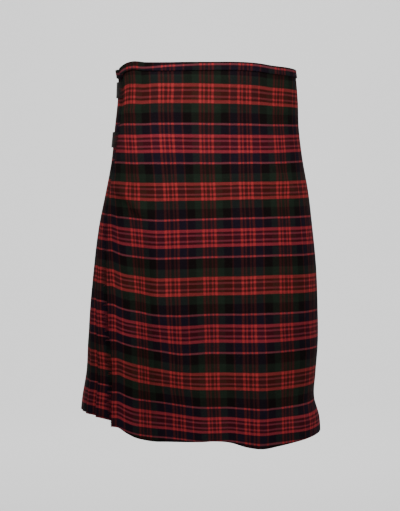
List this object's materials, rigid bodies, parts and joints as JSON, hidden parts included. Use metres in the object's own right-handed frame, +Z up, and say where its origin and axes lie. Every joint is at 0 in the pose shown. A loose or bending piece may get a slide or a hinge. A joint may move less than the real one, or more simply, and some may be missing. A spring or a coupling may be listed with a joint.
{
  "type": "kilt",
  "caption": "Knee-length wrapped wool kilt hung as worn: two overlapping aprons, knife-pleated back, waistband, self-fringed apron edge and leather side straps with buckles.",
  "frame": {"origin": "centre of the waist opening, at the height of the waistband's top edge in front", "axes": "+Z up along the hanging cloth, -Y towards the front of the wearer, -X towards the wearer's right, where the over-apron's fringed edge is"},
  "size_m": [0.394, 0.2968, 0.612],
  "materials": {
    "tartan_front": "worsted twill, matt",
    "tartan_under": "worsted twill, matt",
    "tartan_back": "worsted twill, matt",
    "tartan_band": "worsted twill, matt",
    "fringe_wool": "loose yarn ends, matt",
    "strap_leather": "smooth black, satin",
    "buckle_steel": "plated steel, bright"
  },
  "bodies": {
    "root": {"over_apron": "tartan_front", "under_apron": "tartan_under", "pleats": "tartan_back", "waistband_front": "tartan_band", "waistband_back": "tartan_band", "fringe": "fringe_wool", "strap_right_waist": "strap_leather", "buckle_right_waist": "buckle_steel", "tab_right_waist": "strap_leather", "keeper_right_waist": "strap_leather", "tongue_right_waist": "buckle_steel", "strap_right_hip": "strap_leather", "buckle_right_hip": "buckle_steel", "tab_right_hip": "strap_leather", "keeper_right_hip": "strap_leather", "tongue_right_hip": "buckle_steel", "strap_left_waist": "strap_leather", "buckle_left_waist": "buckle_steel", "tab_left_waist": "strap_leather", "keeper_left_waist": "strap_leather", "tongue_left_waist": "buckle_steel"}
  },
  "joints": []
}
